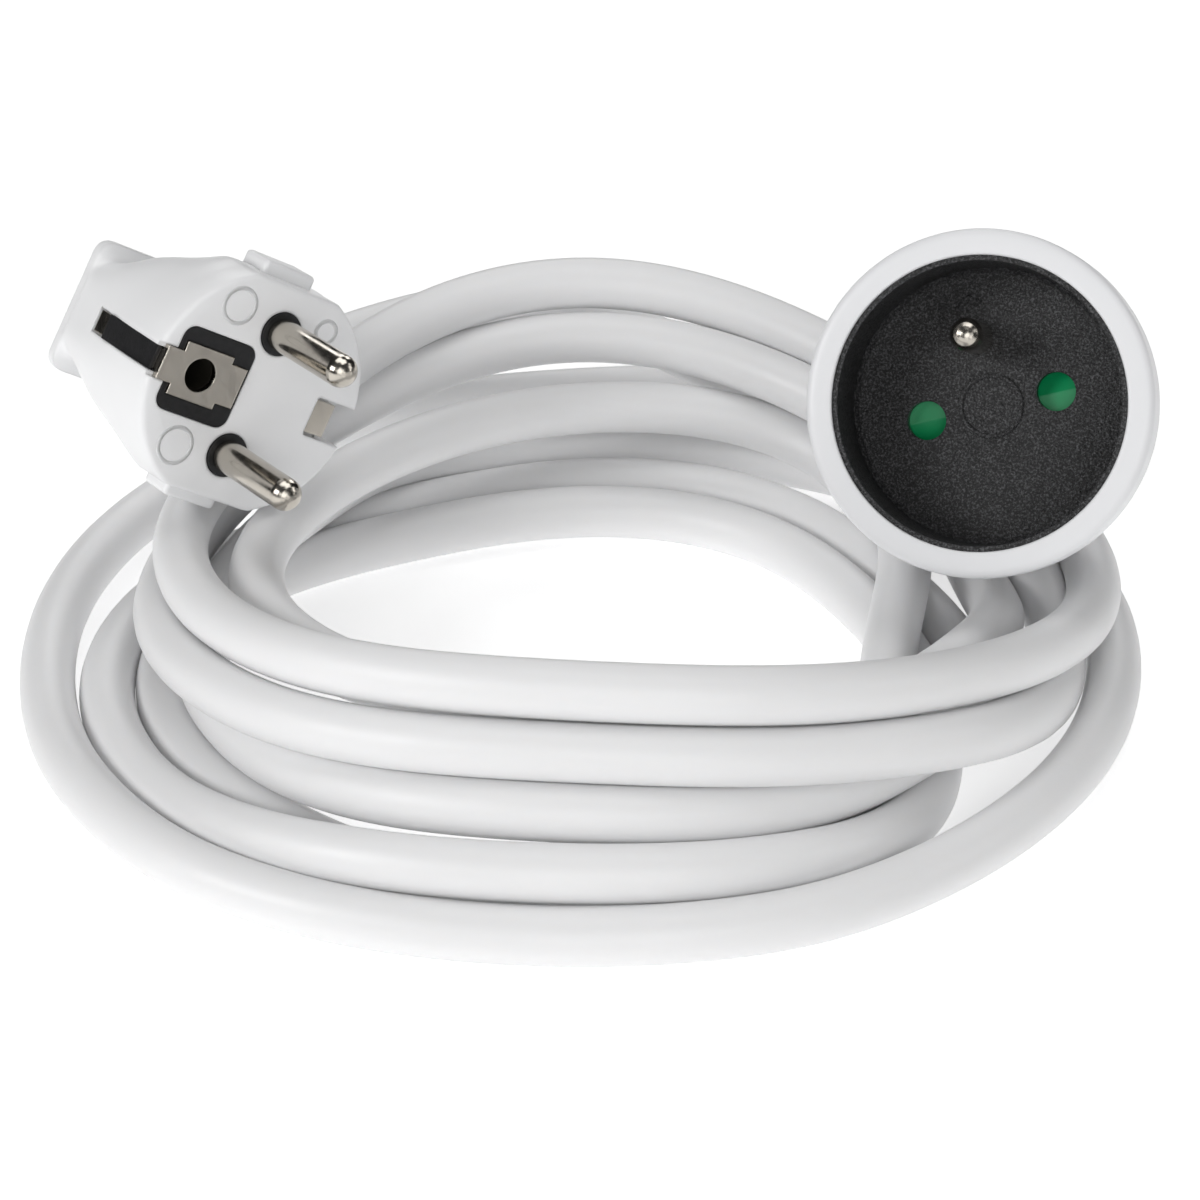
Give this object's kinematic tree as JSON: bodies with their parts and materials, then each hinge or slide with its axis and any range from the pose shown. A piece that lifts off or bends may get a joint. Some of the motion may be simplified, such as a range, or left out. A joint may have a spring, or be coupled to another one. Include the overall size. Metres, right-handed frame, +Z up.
{
  "type": "extension cord",
  "caption": "White household extension cord laid in a flat coil, with an angled earthed round-pin plug at one end and a round recessed trailing socket with an earth pin at the other.",
  "frame": {"origin": "on the floor at the middle of the coil", "axes": "+Z up, +X from the coil's middle towards the socket, -Y towards the side that the plug's pins and the socket's mouth face"},
  "size_m": [0.168, 0.1705, 0.0684],
  "materials": {
    "white_shell": "satin white moulding",
    "white_plug": "soft satin white moulding",
    "white_relief": "soft satin white moulding",
    "cord_sheath": "satin white PVC",
    "black_insert": "fine matt black moulding",
    "green_shutter": "satin green moulding",
    "grey_carrier": "matt grey moulding",
    "nickel": "bright nickel plate",
    "brass": "plain pressed brass",
    "steel": "zinc-plated steel",
    "brown_core": "brown PVC",
    "blue_core": "blue PVC",
    "earth_core": "green and yellow PVC"
  },
  "bodies": {
    "cord_set": {"socket_shell": "white_shell", "socket_housing": "white_shell", "recess_insert": "black_insert", "socket_earth_pin": "nickel", "shutter_pivot": "steel", "shutter_spring": "steel", "contact_carrier": "grey_carrier", "live_contact": "brass", "neutral_contact": "brass", "earth_link": "brass", "socket_crimps": "steel", "socket_live_core": "brown_core", "socket_neutral_core": "blue_core", "socket_earth_core": "earth_core", "socket_sheath_end": "cord_sheath", "cord_clamp": "grey_carrier", "clamp_screws": "steel", "housing_screws": "steel", "socket_strain_relief": "white_relief", "plug_body": "white_plug", "pin_bridge": "black_insert", "live_pin": "nickel", "neutral_pin": "nickel", "earth_strap": "nickel", "clip_liner": "black_insert", "earth_sleeve": "brass", "plug_crimps": "steel", "plug_live_core": "brown_core", "plug_neutral_core": "blue_core", "plug_earth_core": "earth_core", "plug_sheath_end": "cord_sheath", "plug_strain_relief": "white_relief", "socket_lead": "cord_sheath", "cord_coil": "cord_sheath"},
    "shutter": {"safety_shutter": "green_shutter"}
  },
  "joints": [
    {"name": "shutter_turn", "type": "hinge", "parent": "cord_set", "child": "shutter", "pos_m": [0.05913, 0.00776, 0.03886], "axis": [-0.2136, -0.8567, 0.4695], "range_deg": [0, 38], "stiffness_Nm_per_rad": 0.0008, "springref_deg": -22.92, "deforming": ["shutter_spring"]}
  ]
}
